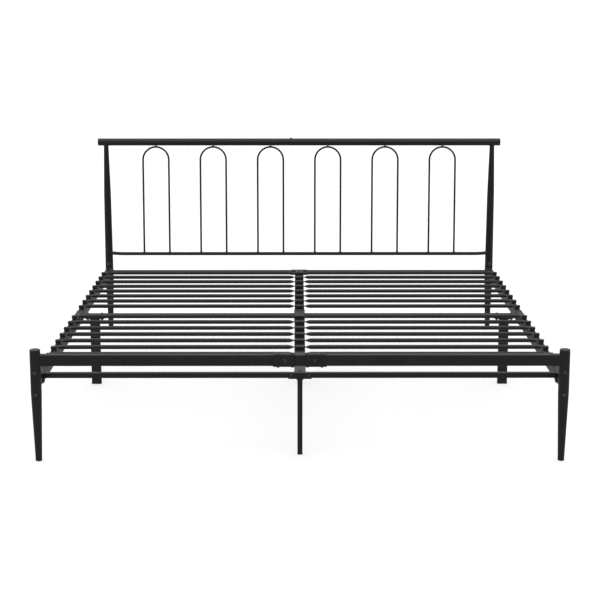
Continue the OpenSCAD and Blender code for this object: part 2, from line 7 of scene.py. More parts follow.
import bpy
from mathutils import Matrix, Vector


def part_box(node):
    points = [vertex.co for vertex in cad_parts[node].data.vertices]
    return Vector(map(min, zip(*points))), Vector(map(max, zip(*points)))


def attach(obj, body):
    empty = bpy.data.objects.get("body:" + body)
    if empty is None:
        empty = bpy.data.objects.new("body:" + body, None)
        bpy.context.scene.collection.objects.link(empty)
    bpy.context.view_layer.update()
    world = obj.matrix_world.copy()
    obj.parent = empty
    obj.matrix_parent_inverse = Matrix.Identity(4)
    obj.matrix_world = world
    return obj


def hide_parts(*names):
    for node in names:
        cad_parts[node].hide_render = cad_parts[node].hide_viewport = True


bl_info = {
    "name": "Metal bed frame",
    "version": (1, 0, 0),
    "blender": (4, 5, 0),
    "location": "3D View > Sidebar > Bed Frame",
    "description": "Models the tubes, slats, plastic seats and fasteners of a metal bed frame",
    "category": "Add Mesh",
}

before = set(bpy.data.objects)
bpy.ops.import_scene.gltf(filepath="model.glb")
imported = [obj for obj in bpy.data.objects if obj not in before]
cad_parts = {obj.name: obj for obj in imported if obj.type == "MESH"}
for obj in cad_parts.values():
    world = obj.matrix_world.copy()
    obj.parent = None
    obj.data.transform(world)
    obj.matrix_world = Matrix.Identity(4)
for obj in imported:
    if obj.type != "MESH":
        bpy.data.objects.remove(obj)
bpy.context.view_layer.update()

from math import acos, atan2, hypot, pi, radians, sin

import bmesh
import bpy
from bpy.props import FloatProperty, FloatVectorProperty, IntProperty, PointerProperty
from bpy.types import Operator, Panel, PropertyGroup
from mathutils import Matrix, Vector


def low(node):
    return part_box(node)[0]


def high(node):
    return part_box(node)[1]


def size(node):
    return high(node) - low(node)


def middle(node):
    return (low(node) + high(node)) / 2


LEG_X = middle("foot_leg_right").x
LEG_Y = middle("headboard_post_right").y
DECK = high("centre_beam_foot").z
GLIDE_TOP = low("foot_leg_right").z
SIDE_LOW = 2 * middle("side_rail_splices").z - DECK
SLAT_Z = middle("slats_head_right").z
TOP_RAIL_Z = middle("top_rail_right").z
LOW_RAIL_Z = middle("lower_rail_right").z
PLACES = ("foot", "mid", "head")
UP, DOWN = (0, 0, 1), (0, 0, -1)
NEAR = 1e-5  # how close to a plane a face or an edge counts as on it


# ---- sizes and colours ----


def metres(name, description, default):
    """A property for a length in metres."""
    return FloatProperty(name=name, description=description, default=default, unit="LENGTH")


def tint(name, description, default):
    """A property for a colour with its alpha."""
    return FloatVectorProperty(name=name, description=description, default=default,
                               subtype="COLOR", size=4, min=0, max=1)


class BedLegSizes(PropertyGroup):
    """Sizes of the legs and the headboard posts"""

    foot_radius: metres("Foot Radius", "Radius of a leg at its floor glide", 0.0115)
    knee_height: metres("Knee Height", "Height of a leg's thickest place", 0.246)
    knee_radius: metres(
        "Knee Radius", "Radius of a leg at its thickest place", size("foot_leg_right").x / 2)
    top_radius: metres(
        "Top Radius", "Radius of a foot leg at its top", size("leg_caps").x / 2 - LEG_X)
    post_bend_height: metres(
        "Upper Taper Height", "Height where a post's upper taper starts", 0.661)
    post_bend_radius: metres(
        "Upper Taper Radius", "Radius of a post where its upper taper starts", 0.01635)
    post_top_radius: metres("Post Top Radius", "Radius of a post under the top rail", 0.011)
    swage: metres("Swage", "Length over which the tube turns from one taper to the next", 0.012)
    flat_width: metres(
        "Flat Leg Width", "Width of the flat legs under the middle of the bed", 0.040)


class BedTubeSizes(PropertyGroup):
    """Sizes shared by the square and rectangular tubes and the plates"""

    corner: metres("Tube Corner", "Outside corner radius of the rectangular tubes", 0.003)
    bead: metres("Weld Bead", "How far a weld bead stands proud of its tube", 0.0016)
    edge: metres("Cut Edge", "Rounding of cut edges under their paint", 0.0005)
    plate: metres("Plate", "Thickness of the plates and brackets", size("mid_plate_top").z)
    plate_corner: metres("Plate Corner", "Corner radius of the plates and brackets", 0.005)


class BedSlatSizes(PropertyGroup):
    """Sizes of the slats and of the plastic parts that hold them"""

    rows: IntProperty(
        name="Rows", description="Rows of slats in each half of the bed", default=8, min=2)
    radius: metres("Tube Radius", "Radius of a slat's tube", size("slats_head_right").z / 2)
    blade_thickness: metres("Blade Thickness", "Thickness of a slat's flattened end", 0.003)
    blade_width: metres("Blade Width", "Width of a slat's flattened end", 0.016)
    blade_length: metres("Blade Length", "Length of a slat's flattened end", 0.019)
    pinch: metres("Pinch Length", "Length of the taper from the tube to its flattened end", 0.021)
    cap_length: metres("Cap Length", "Length of the plastic cap on a slat's outer end", 0.0225)
    seat_width: metres("Seat Width", "Width of the plastic caps and seats", 0.0195)
    seat_lip: metres(
        "Seat Lip", "How far the caps and seats stand over their narrower bases", 0.0012)


class BedHeadboardSizes(PropertyGroup):
    """Sizes of the headboard's bent rods"""

    bend_radius: metres("Lower Rail Bend", "Radius of the lower rail's bend at each end", 0.105)
    rod_radius: metres("Rod Radius", "Radius of the arch rod", 0.0045)
    crown_gap: metres("Crown Gap", "Gap between an arch's crown and the top rail", 0.002)


class BedFastenerSizes(PropertyGroup):
    """Sizes of the bolts, screws and nuts"""

    bolt_radius: metres("Leg Bolt Radius", "Shank radius of the leg bolts", 0.004)
    bolt_head: metres(
        "Leg Bolt Head", "Head radius of the leg bolts", size("leg_bolts").x / 2 - LEG_X)
    screw_radius: metres("Screw Radius", "Shank radius of the small bolts and screws", 0.003)
    screw_head: metres("Screw Head", "Head radius of the small bolts and screws", 0.0055)
    screw_height: metres("Screw Head Height", "Head height of the small bolts and screws", 0.003)


class BedFinish(PropertyGroup):
    """Colours and finishes"""

    paint: tint("Paint", "Powder coat of the frame", (0.006, 0.006, 0.0063, 1))
    paint_roughness: FloatProperty(
        name="Paint Roughness", description="Roughness of the frame's powder coat",
        subtype="FACTOR", min=0, max=1, default=0.36)
    plastic: tint("Plastic", "Moulded caps, seats and glides", (0.004, 0.004, 0.004, 1))
    bolt: tint("Bolts", "Black oxide of the bolts and screws", (0.06, 0.06, 0.064, 1))
    steel: tint("Bare Steel", "Unpainted bars inside the joints", (0.30, 0.29, 0.28, 1))


class BedStage(PropertyGroup):
    """Floor, lights and camera"""

    floor: tint("Floor", "Colour of the floor", (0.97, 0.97, 0.97, 1))
    surround: FloatProperty(
        name="Surround", description="Brightness of the studio round the bed",
        default=0.38, min=0)
    overhead: FloatProperty(
        name="Overhead Light", description="Strength of the broad soft light above the bed",
        default=2.55, min=0)
    overhead_spread: FloatProperty(
        name="Light Spread", description="How wide the soft light above the bed looks",
        default=radians(130), subtype="ANGLE", unit="ROTATION")
    lens: FloatProperty(
        name="Lens", description="Focal length of the camera in millimetres",
        default=88.27, subtype="DISTANCE_CAMERA", unit="CAMERA")
    camera_place: FloatVectorProperty(
        name="Camera Place", description="Where the camera stands",
        subtype="TRANSLATION", unit="LENGTH", default=(-0.0099, -5.9543, 1.6240))
    camera_turn: FloatVectorProperty(
        name="Camera Turn", description="How the camera is tilted and turned",
        subtype="EULER", unit="ROTATION", default=(radians(77.986), 0, radians(-0.116)))


# ---- selecting and shaping ----


def deselect():
    """Leaves edit mode with nothing selected."""
    if bpy.context.mode != "OBJECT":
        bpy.ops.object.mode_set(mode="OBJECT")
    bpy.ops.object.select_all(action="DESELECT")


def select(*pieces):
    """Selects only these pieces, the first of them active."""
    deselect()
    for piece in pieces:
        piece.select_set(True)
    bpy.context.view_layer.objects.active = pieces[0]


def start(name):
    """Names the primitive just added, puts its place into its mesh and opens it for editing."""
    piece = bpy.context.object
    piece.name = piece.data.name = name
    bpy.ops.object.transform_apply()
    bpy.ops.object.mode_set(mode="EDIT")
    return piece


def add_box(name, a, b):
    """A box between two corners, open for editing."""
    deselect()
    a, b = Vector(a), Vector(b)
    bpy.ops.mesh.primitive_cube_add(size=1, location=(a + b) / 2, scale=b - a)
    return start(name)


def add_rod(name, radius, a, b, sides=32):
    """A rod between two points, open for editing."""
    deselect()
    a, b = Vector(a), Vector(b)
    bpy.ops.mesh.primitive_cylinder_add(
        vertices=sides, radius=radius, depth=(b - a).length, location=(a + b) / 2,
        rotation=(b - a).to_track_quat("Z", "Y").to_euler())
    return start(name)


def pick(piece, test, kind="FACE"):
    """Selects the faces, or edges, whose middle and direction pass a test."""
    bpy.ops.mesh.select_mode(type=kind)
    bpy.ops.mesh.select_all(action="DESELECT")
    shape = bmesh.from_edit_mesh(piece.data)
    if kind == "FACE":
        found = [f for f in shape.faces if test(f.calc_center_median(), f.normal)]
    else:
        found = [e for e in shape.edges
                 if test((e.verts[0].co + e.verts[1].co) / 2,
                         (e.verts[1].co - e.verts[0].co).normalized())]
    if not found:
        raise RuntimeError(f"{piece.name}: nothing to shape was found")
    for part in found:
        part.select_set(True)
    bmesh.update_edit_mesh(piece.data)


def pick_end(piece, direction):
    """Selects the flat face that lies furthest in a direction."""
    direction = Vector(direction)
    shape = bmesh.from_edit_mesh(piece.data)
    furthest = max(f.calc_center_median().dot(direction) for f in shape.faces
                   if f.normal.dot(direction) > 0.99)
    pick(piece, lambda m, n: n.dot(direction) > 0.99 and m.dot(direction) > furthest - NEAR)


def extrude(move):
    bpy.ops.mesh.extrude_region_move(TRANSFORM_OT_translate={"value": move})


def resize(scale, centre):
    bpy.ops.transform.resize(value=scale, center_override=centre)


def grow(centre, direction, stations):
    """Extrudes the selected face through stations, each a distance and its two half widths.

    The widths are along the two axes across the direction, in the order X, Y, Z.
    """
    centre, direction = Vector(centre), Vector(direction)
    across = [axis for axis in range(3) if abs(direction[axis]) < 0.5]
    for (at, *before), (to, *after) in zip(stations, stations[1:]):
        extrude(direction * (to - at))
        scale = Vector((1, 1, 1))
        for axis, old, new in zip(across, before * 2, after * 2):
            scale[axis] = new / old
        resize(scale, centre + direction * to)


def round_edges(piece, test, radius, segments=3):
    """Rounds the edges whose middle and direction pass a test."""
    pick(piece, test, "EDGE")
    bpy.ops.mesh.bevel(offset=radius, segments=segments, affect="EDGES")


def along(axis):
    """A test for edges that run along an axis, which is 0, 1 or 2."""
    return lambda m, d: abs(d[axis]) > 0.999


def grow_end(piece, centre, direction, stations):
    """Grows the flat face that lies furthest in a direction through stations."""
    pick_end(piece, direction)
    grow(centre, direction, stations)


def step_end(piece, direction, inset, length):
    """Carries a piece's end on, narrower by an inset all round."""
    pick_end(piece, direction)
    bpy.ops.mesh.inset(thickness=inset)
    extrude(Vector(direction) * length)


def add_tube(name, a, b, axis, radius, segments=3):
    """A rectangular tube between two corners, its edges along an axis rounded."""
    piece = add_box(name, a, b)
    round_edges(piece, along(axis), radius, segments)
    return piece


def add_plate(name, a, b, axis, radius, edge, segments=4):
    """A plate between two corners, its corners rounded and all its edges softened."""
    piece = add_tube(name, a, b, axis, radius, segments)
    soften(piece, edge)
    return piece


def weld_end(piece, direction, proud, width):
    """Ends a tube in a weld bead that goes round it and stands proud of its sides."""
    direction = Vector(direction)
    pick_end(piece, direction)
    shape = bmesh.from_edit_mesh(piece.data)
    corners = [v.co.copy() for f in shape.faces if f.select for v in f.verts]
    a = Vector([min(c[i] for c in corners) for i in range(3)])
    b = Vector([max(c[i] for c in corners) for i in range(3)])
    centre, half = (a + b) / 2, (b - a) / 2
    widths = [half[i] for i in range(3) if abs(direction[i]) < 0.5]
    steps = [(0, 0.0), (0.15, 0.75), (0.5, 1.0), (0.85, 0.75), (1.0, 0.2)]
    grow(centre, direction,
         [(width * at, *(w + proud * out for w in widths)) for at, out in steps])


def cut_plane(point, normal):
    """Cuts a line of edges across the whole of the piece that is open."""
    bpy.ops.mesh.select_all(action="SELECT")
    bpy.ops.mesh.bisect(plane_co=point, plane_no=normal)


def apply_modifier(piece, kind, **settings):
    select(piece)
    bpy.ops.object.modifier_add(type=kind)
    modifier = piece.modifiers[-1]
    for name, value in settings.items():
        setattr(modifier, name, value)
    bpy.ops.object.modifier_apply(modifier=modifier.name)


def soften(piece, width, segments=2):
    """Rounds every sharp edge of a piece a little."""
    apply_modifier(piece, "BEVEL", width=width, segments=segments, limit_method="ANGLE",
                   angle_limit=radians(40), harden_normals=False)


def carve(piece, tool, operation="DIFFERENCE"):
    """Cuts a tool's shape out of a piece, or keeps what they share, and removes the tool."""
    apply_modifier(piece, "BOOLEAN", operation=operation, object=tool, solver="EXACT")
    bpy.data.objects.remove(tool)


def join(name, *pieces):
    """Makes one piece of several."""
    select(*pieces)
    if len(pieces) > 1:
        bpy.ops.object.join()
    piece = bpy.context.object
    piece.name = piece.data.name = name
    bpy.ops.object.transform_apply()
    return piece


def duplicate(piece):
    select(piece)
    bpy.ops.object.duplicate()
    return bpy.context.object


def mirrored(piece, name, x=1, y=1):
    """A mirrored copy of a piece, turned the right way out again."""
    copy = duplicate(piece)
    copy.scale = (x, y, 1)
    copy = join(name, copy)
    bpy.ops.object.mode_set(mode="EDIT")
    bpy.ops.mesh.select_all(action="SELECT")
    bpy.ops.mesh.remove_doubles(threshold=1e-6)
    bpy.ops.mesh.normals_make_consistent(inside=False)
    deselect()
    return copy


def at(place, direction=UP):
    """The matrix that stands a piece's +Z along a direction at a place."""
    turn = Vector(UP).rotation_difference(Vector(direction))
    return Matrix.Translation(place) @ turn.to_matrix().to_4x4()


def spread(piece, name, places):
    """Copies a piece to every place, each copy with its own mesh, and joins them."""
    copies = []
    for place in places:
        copy = duplicate(piece)
        copy.matrix_world = place
        copies.append(copy)
    bpy.data.objects.remove(piece)
    return join(name, *copies)


def done(piece, slot, *nodes, smooth=35):
    """Smooths a piece, gives it its finish and hands it to the frame in place of its nodes."""
    select(piece)
    bpy.ops.object.shade_smooth_by_angle(angle=radians(smooth))
    piece.data.materials.clear()
    piece.data.materials.append(finish_of(slot))
    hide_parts(*nodes)
    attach(piece, "root")
    deselect()


def both(right, slot, node):
    """Finishes a right-hand piece and its mirrored copy on the left."""
    left = mirrored(right, right.name.replace("right", "left"), x=-1)
    done(right, slot, node + "_right")
    done(left, slot, node + "_left")


def both_in_one(name, right, slot, node, smooth=35):
    """Joins a right-hand piece to its mirrored copy on the left and finishes them as one."""
    left = mirrored(right, "other_side", x=-1)
    done(join(name, right, left), slot, node, smooth=smooth)


# ---- materials ----


class Wire:
    """A node's output. Arithmetic on it adds Math nodes, and node() adds any other kind."""

    def __init__(self, tree, socket=None):
        self.tree = tree
        self.socket = socket

    def node(self, kind, settings=None, sockets=None, output=0):
        """Adds a node, makes its settings and then fills its sockets with values or wires."""
        made = self.tree.nodes.new("ShaderNode" + kind)
        for name, value in (settings or {}).items():
            if name == "stops":
                for element, (position, grey) in zip(made.color_ramp.elements, value):
                    element.position = position
                    element.color = (grey, grey, grey, 1)
            else:
                setattr(made, name, value)
        for name, value in (sockets or {}).items():
            if isinstance(value, Wire):
                self.tree.links.new(value.socket, made.inputs[name])
            else:
                made.inputs[name].default_value = value
        return Wire(self.tree, made.outputs[output])

    def maths(self, operation, other):
        return self.node("Math", {"operation": operation}, {0: self, 1: other})

    def __add__(self, other):
        return self.maths("ADD", other)

    __radd__ = __add__

    def __mul__(self, other):
        return self.maths("MULTIPLY", other)

    __rmul__ = __mul__

    def noise(self, place, scale, detail=2.0, rough=0.5):
        return self.node("TexNoise", {}, {"Vector": place, "Scale": scale, "Detail": detail,
                                          "Roughness": rough})

    def ramp(self, *stops):
        return self.node("ValToRGB", {"stops": stops}, {"Fac": self})

    def mix(self, a, b):
        """Blends two colours by this wire, from 0 for a to 1 for b."""
        return self.node("Mix", {"data_type": "RGBA"}, {"Factor": self, 6: a, 7: b}, output=2)


def new_material(name):
    """A new material, the start of its nodes, its shader and the object's own coordinates."""
    material = bpy.data.materials.new(name)
    material.use_nodes = True
    nodes = Wire(material.node_tree)
    place = nodes.node("TexCoord", output="Object")
    return material, nodes, material.node_tree.nodes["Principled BSDF"], place


def connect(nodes, shader, **wires):
    """Joins wires to the sockets that vary over the surface."""
    for name, wire in wires.items():
        nodes.tree.links.new(wire.socket, shader.inputs[name.replace("_", " ")])


def bump(nodes, height, strength, distance):
    return nodes.node("Bump", {}, {"Height": height, "Strength": strength, "Distance": distance})


def lighter(colour, factor, lift=0.0):
    return tuple(min(1, c * factor + lift) for c in colour[:3]) + (1,)


def powder_coat(name, colour, roughness, peel):
    """Satin powder coat: orange peel, fine pits, rubbed spots and a little settled dust."""
    material, nodes, shader, place = new_material(name)
    ripple = nodes.noise(place, 330, 2)
    pits = nodes.noise(place, 1500, 1)
    cloud = nodes.noise(place, 7, 3)
    rubbed = nodes.noise(place, 95, 5, 0.62).ramp((0.66, 0), (0.74, 1))
    dust = nodes.noise(place, 38, 4, 0.6).ramp((0.45, 0), (0.85, 1))
    tone = cloud.mix(lighter(colour, 0.75), lighter(colour, 1.35))
    tone = (dust * 0.35).mix(tone, lighter(colour, 1.5, 0.006))
    tone = (rubbed * 0.5).mix(tone, lighter(colour, 2.2, 0.005))
    shader.inputs["Specular IOR Level"].default_value = 0.4
    connect(nodes, shader, Base_Color=tone,
            Roughness=cloud * 0.10 + dust * 0.08 + rubbed * 0.06 + (roughness - 0.07),
            Normal=bump(nodes, ripple * 0.75 + pits * 0.25, peel, 0.0004))
    return material


def moulded_plastic(name, colour, roughness):
    """Spark-eroded black plastic with fine grain, paler scuffs and faint flow marks."""
    material, nodes, shader, place = new_material(name)
    grain = nodes.node("TexVoronoi", {"feature": "SMOOTH_F1"}, {"Vector": place, "Scale": 1400.0})
    flow = nodes.noise(place, 60, 3)
    scuff = nodes.noise(place, 160, 5, 0.7).ramp((0.62, 0), (0.76, 1))
    tone = flow.mix(lighter(colour, 0.8), lighter(colour, 1.5))
    tone = (scuff * 0.4).mix(tone, lighter(colour, 2.5, 0.012))
    connect(nodes, shader, Base_Color=tone, Roughness=flow * 0.12 + scuff * 0.08 + roughness,
            Normal=bump(nodes, grain, 0.35, 0.0003))
    return material


def black_oxide(name, colour, roughness):
    """Blackened steel, worn back to brighter metal in small spots."""
    material, nodes, shader, place = new_material(name)
    tooling = nodes.noise(place, 1900, 2)
    patch = nodes.noise(place, 210, 4, 0.6)
    worn = patch.ramp((0.55, 0), (0.78, 1))
    connect(nodes, shader, Base_Color=worn.mix(colour, lighter(colour, 3.0, 0.03)),
            Roughness=patch * 0.2 + roughness, Metallic=worn * 0.25 + 0.7,
            Normal=bump(nodes, tooling, 0.2, 0.0002))
    return material


def bare_steel(name, colour):
    """Drawn steel with fine lines along its length and light oil stains."""
    material, nodes, shader, place = new_material(name)
    drawn = nodes.node("Mapping", {}, {"Vector": place, "Scale": (6, 500, 500)})
    lines = nodes.noise(drawn, 1.0, 3)
    stain = nodes.noise(place, 24, 4, 0.6)
    tone = stain.mix(lighter(colour, 0.7), lighter(colour, 1.25))
    shader.inputs["Metallic"].default_value = 1.0
    connect(nodes, shader, Base_Color=tone, Roughness=lines * 0.16 + stain * 0.12 + 0.24,
            Normal=bump(nodes, lines, 0.25, 0.0002))
    return material


def floor_paint(name, colour):
    """Plain pale floor with a faint unevenness."""
    material, nodes, shader, place = new_material(name)
    cloud = nodes.noise(place, 0.8, 2)
    connect(nodes, shader, Base_Color=cloud.mix(lighter(colour, 0.985), colour))
    shader.inputs["Roughness"].default_value = 0.85
    shader.inputs["Specular IOR Level"].default_value = 0.15
    return material


def finish_of(slot):
    """The material of one of the record's slots, made the first time that it is asked for."""
    look, name = bpy.context.scene.bed_finish, "bed_" + slot
    recipe, *values = {
        "frame_paint": (powder_coat, look.paint, look.paint_roughness, 0.16),
        "bracket_paint": (powder_coat, lighter(look.paint, 0.85), look.paint_roughness + 0.05,
                          0.26),
        "slat_paint": (powder_coat, lighter(look.paint, 1.1), look.paint_roughness + 0.02, 0.10),
        "plug_plastic": (moulded_plastic, look.plastic, 0.30),
        "seat_plastic": (moulded_plastic, look.plastic, 0.42),
        "glide_plastic": (moulded_plastic, look.plastic, 0.50),
        "bolt_steel": (black_oxide, look.bolt, 0.22),
        "nut_steel": (black_oxide, lighter(look.bolt, 1.6), 0.30),
        "inner_steel": (bare_steel, look.steel),
    }[slot]
    return bpy.data.materials.get(name) or recipe(name, *values)


# ---- legs and headboard ----


def swaged(stations, swage):
    """Stations of a tapered tube, each inner turn eased over a short length."""
    eased = [stations[0]]
    for before, turn, after in zip(stations, stations[1:], stations[2:]):
        for other, share in ((before, 0.5), (before, 0.17), (after, 0.17), (after, 0.5)):
            t = share * swage / abs(other[0] - turn[0])
            point = turn[0] + (other[0] - turn[0]) * t
            ease = (0.5 - share) * swage * 0.010
            eased.append((point, turn[1] + (other[1] - turn[1]) * t - ease))
    return eased + [stations[-1]]


def tapered(name, x, y, stations, sides=40):
    """An upright tapered tube, closed at both ends."""
    (foot, radius), first = stations[0], 0.001
    piece = add_rod(name, radius, (x, y, foot), (x, y, foot + first), sides)
    grow_end(piece, (x, y, 0), UP, [(foot + first, radius)] + list(stations[1:]))
    return piece


class BED_OT_foot_legs(Operator):
    """Model the two tapered legs at the foot end"""

    bl_idname = "bed.foot_legs"
    bl_label = "Foot Legs"

    def execute(self, context):
        legs = context.scene.bed_legs
        top, chamfer = high("foot_leg_right").z, 0.0006
        stations = swaged([(GLIDE_TOP, legs.foot_radius), (legs.knee_height, legs.knee_radius),
                           (top - chamfer, legs.top_radius)], legs.swage)
        stations += [(top, legs.top_radius - chamfer)]
        both(tapered("tapered_leg_right", LEG_X, -LEG_Y, stations), "frame_paint", "foot_leg")
        return {"FINISHED"}


class BED_OT_leg_caps(Operator):
    """Model the domed plugs in the tops of the foot legs"""

    bl_idname = "bed.leg_caps"
    bl_label = "Leg Caps"

    def execute(self, context):
        radius = context.scene.bed_legs.top_radius
        base = high("foot_leg_right").z
        rise = high("leg_caps").z - base
        stations = [(base, radius - 0.0008), (base + 0.08 * rise, radius),
                    (base + 0.28 * rise, radius), (base + 0.46 * rise, radius * 0.955)]
        dome = [(0.83, 0.72), (0.66, 0.85), (0.44, 0.945), (0.20, 0.99), (0.03, 1.0)]
        stations += [(base + rise * h, radius * r) for r, h in dome]
        cap = tapered("domed_cap_right", LEG_X, -LEG_Y, stations)
        step_end(cap, DOWN, 0.0012, base - low("leg_caps").z)
        both_in_one("domed_caps", cap, "plug_plastic", "leg_caps", smooth=50)
        return {"FINISHED"}


class BED_OT_posts(Operator):
    """Model the two headboard posts with the weld under the top rail"""

    bl_idname = "bed.posts"
    bl_label = "Headboard Posts"

    def execute(self, context):
        legs, bead = context.scene.bed_legs, context.scene.bed_tubes.bead
        under, radius = low("top_rail_right").z, legs.post_top_radius
        stations = swaged([(GLIDE_TOP, legs.foot_radius), (legs.knee_height, legs.knee_radius),
                           (legs.post_bend_height, legs.post_bend_radius),
                           (under - 0.0025, radius)], legs.swage)
        weld = [(-0.0010, 0.8), (0.0010, 1.1), (0.0055, 1.1), (0.0090, 0)]
        stations += [(under + up, radius + out * bead) for up, out in weld]
        both(tapered("tapered_post_right", LEG_X, LEG_Y, stations),
             "frame_paint", "headboard_post")
        return {"FINISHED"}


class BED_OT_top_rail(Operator):
    """Model the two halves of the top rail and its end caps"""

    bl_idname = "bed.top_rail"
    bl_label = "Top Rail"

    def execute(self, context):
        radius, sides = size("top_rail_right").z / 2, 48
        y, z = LEG_Y, TOP_RAIL_Z
        end, tip = high("top_rail_right").x, high("top_rail_caps").x
        rail = add_rod("top_tube_right", radius, (0, y, z), (end, y, z), sides)
        round_edges(rail, lambda m, d: abs(d.x) < 0.1, context.scene.bed_tubes.edge, 2)
        both(rail, "frame_paint", "top_rail")
        cap = add_rod("rail_cap_right", radius, (end, y, z), (tip, y, z), sides)
        round_edges(cap, lambda m, d: abs(d.x) < 0.1 and m.x > end + 0.001, 0.0018)
        step_end(cap, (-1, 0, 0), 0.0016, 0.02)
        both_in_one("rail_caps", cap, "plug_plastic", "top_rail_caps")
        return {"FINISHED"}


class BED_OT_lower_rail(Operator):
    """Model the two halves of the lower rail, bent back at the posts"""

    bl_idname = "bed.lower_rail"
    bl_label = "Lower Rail"

    def execute(self, context):
        bend = context.scene.bed_headboard.bend_radius
        radius = size("lower_rail_right").z / 2
        y, z = low("lower_rail_right").y + radius, LOW_RAIL_Z
        angle = acos(1 - (LEG_Y - y) / bend)
        run = LEG_X - bend * sin(angle)
        rail = add_rod("lower_tube_right", radius, (0, y, z), (run, y, z), 28)
        pick_end(rail, (1, 0, 0))
        bpy.ops.mesh.spin(steps=10, angle=angle, center=(run, y + bend, z), axis=DOWN)
        both(rail, "frame_paint", "lower_rail")
        return {"FINISHED"}


class BED_OT_arches(Operator):
    """Model one bent-rod arch with its welds and copy it along the headboard"""

    bl_idname = "bed.arches"
    bl_label = "Headboard Arches"

    def execute(self, context):
        head, bead = context.scene.bed_headboard, context.scene.bed_tubes.bead
        rod, rail = head.rod_radius, size("lower_rail_right").z / 2
        low_y = low("lower_rail_right").y + rail
        back, rise = LEG_Y - low_y, TOP_RAIL_Z - LOW_RAIL_Z
        half = size("headboard_arch_4").x / 2 - rod
        crown = hypot(back, rise) - size("top_rail_right").z / 2 - head.crown_gap - rod
        spring = crown - half

        foot, first = rail - 0.004, 1e-4
        weld = [(rail + 0.0006, rod + bead), (rail + 0.0016, rod + 0.45 * bead),
                (rail + 0.0024, rod)]
        arch = add_rod("arch", rod + bead, (-half, 0, foot), (-half, 0, foot + first), 14)
        grow_end(arch, (-half, 0, 0), UP, [(foot + first, rod + bead)] + weld + [(spring, rod)])
        bpy.ops.mesh.spin(steps=24, angle=pi, center=(0, 0, spring), axis=(0, -1, 0))
        pick(arch, lambda m, n: n.z < -0.99 and m.x > 0 and m.z < spring + NEAR)
        down = [(spring, rod)] + weld[::-1] + [(foot, rod + bead)]
        grow((half, 0, spring), DOWN, [(spring - z, r) for z, r in down])
        pin = add_rod("arch_weld", rod + bead, (0, 0, crown - 0.4 * rod), (0, 0, crown), 16)
        grow_end(pin, (0, 0, crown), UP,
                 [(0, rod + bead), (head.crown_gap / 2, rod + 0.5 * bead),
                  (head.crown_gap + 0.0005, rod + bead), (0.006, rod)])
        arch = join("arch", arch, pin)

        lean = Matrix.Rotation(-atan2(back, rise), 4, "X")
        for number in range(1, 7):
            node = f"headboard_arch_{number}"
            place = at((middle(node).x, low_y, LOW_RAIL_Z)) @ lean
            done(spread(duplicate(arch), f"arch_{number}", [place]), "frame_paint", node)
        bpy.data.objects.remove(arch)
        return {"FINISHED"}


# ---- foot rail ----


class BED_OT_foot_rail(Operator):
    """Model the two halves of the foot rail, their welds and the piece between them"""

    bl_idname = "bed.foot_rail"
    bl_label = "Foot Rail"

    def execute(self, context):
        tubes, leg = context.scene.bed_tubes, context.scene.bed_legs.top_radius
        a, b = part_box("foot_rail_right")
        end = LEG_X - (leg ** 2 - ((b.y - a.y) / 2) ** 2) ** 0.5
        rail = add_tube("foot_tube_right", a, (end - 0.002, b.y, b.z), 0, tubes.corner)
        weld_end(rail, (1, 0, 0), tubes.bead, 0.004)
        both(rail, "frame_paint", "foot_rail")

        spigot = high("foot_rail_connector").x - a.x
        link = add_tube("foot_rail_link", (-a.x, a.y, a.z), (a.x, b.y, b.z), 0, tubes.corner)
        for sign in (-1, 1):
            step_end(link, (sign, 0, 0), 0.0017, spigot)
        soften(link, tubes.edge)
        done(link, "frame_paint", "foot_rail_connector")
        return {"FINISHED"}


class BED_OT_clamps(Operator):
    """Model the folded clamps round the foot rail's joint"""

    bl_idname = "bed.clamps"
    bl_label = "Foot Rail Clamps"

    def execute(self, context):
        a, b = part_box("foot_rail_clamps")
        rail_a, rail_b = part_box("foot_rail_right")
        clamp = add_box("clamp_right", (rail_a.x, a.y, a.z), (b.x, rail_a.y, b.z))
        for z in (rail_a.z, rail_b.z):
            cut_plane((0, 0, z), UP)
        pick(clamp, lambda m, n: n.y > 0.9 and not rail_a.z < m.z < rail_b.z)
        extrude((0, b.y - rail_a.y, 0))
        round_edges(clamp, lambda m, d: abs(d.x) > 0.9 and m.y < a.y + NEAR
                    and (m.z > b.z - NEAR or m.z < a.z + NEAR), 0.0036, 4)
        round_edges(clamp, lambda m, d: abs(d.z) > 0.9 and m.y > b.y - NEAR, 0.0012, 1)
        soften(clamp, context.scene.bed_tubes.edge)
        both_in_one("joint_clamps", clamp, "bracket_paint", "foot_rail_clamps")
        return {"FINISHED"}


# ---- side rails, cross members and beam ----

LIGHT_WELD = (0.0012, 0.0035)  # how far it stands proud, and its width
PLATE_EDGE = 0.0007  # rounding of a plate's edges


class BED_OT_side_rails(Operator):
    """Model the four half side rails with their saddle plates"""

    bl_idname = "bed.side_rails"
    bl_label = "Side Rails"

    def execute(self, context):
        tubes = context.scene.bed_tubes
        a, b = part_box("side_rail_head_right")
        face = LEG_Y - context.scene.bed_legs.knee_radius - 0.004
        tube = add_tube("side_tube", (a.x, 0, SIDE_LOW), (b.x, face - 0.003, DECK), 1, tubes.corner)
        round_edges(tube, lambda m, d: m.y < NEAR, tubes.edge, 1)
        weld_end(tube, (0, 1, 0), tubes.bead, 0.0045)
        saddle = add_plate("saddle", (a.x, face, a.z), b, 1, tubes.plate_corner, 0.0008)
        rails = {"head_right": join("side_tube_head_right", tube, saddle)}
        rails["head_left"] = mirrored(rails["head_right"], "side_tube_head_left", x=-1)
        for side in ("right", "left"):
            rails["foot_" + side] = mirrored(rails["head_" + side], "side_tube_foot_" + side, y=-1)
        for place, rail in rails.items():
            done(rail, "frame_paint", "side_rail_" + place)
        return {"FINISHED"}


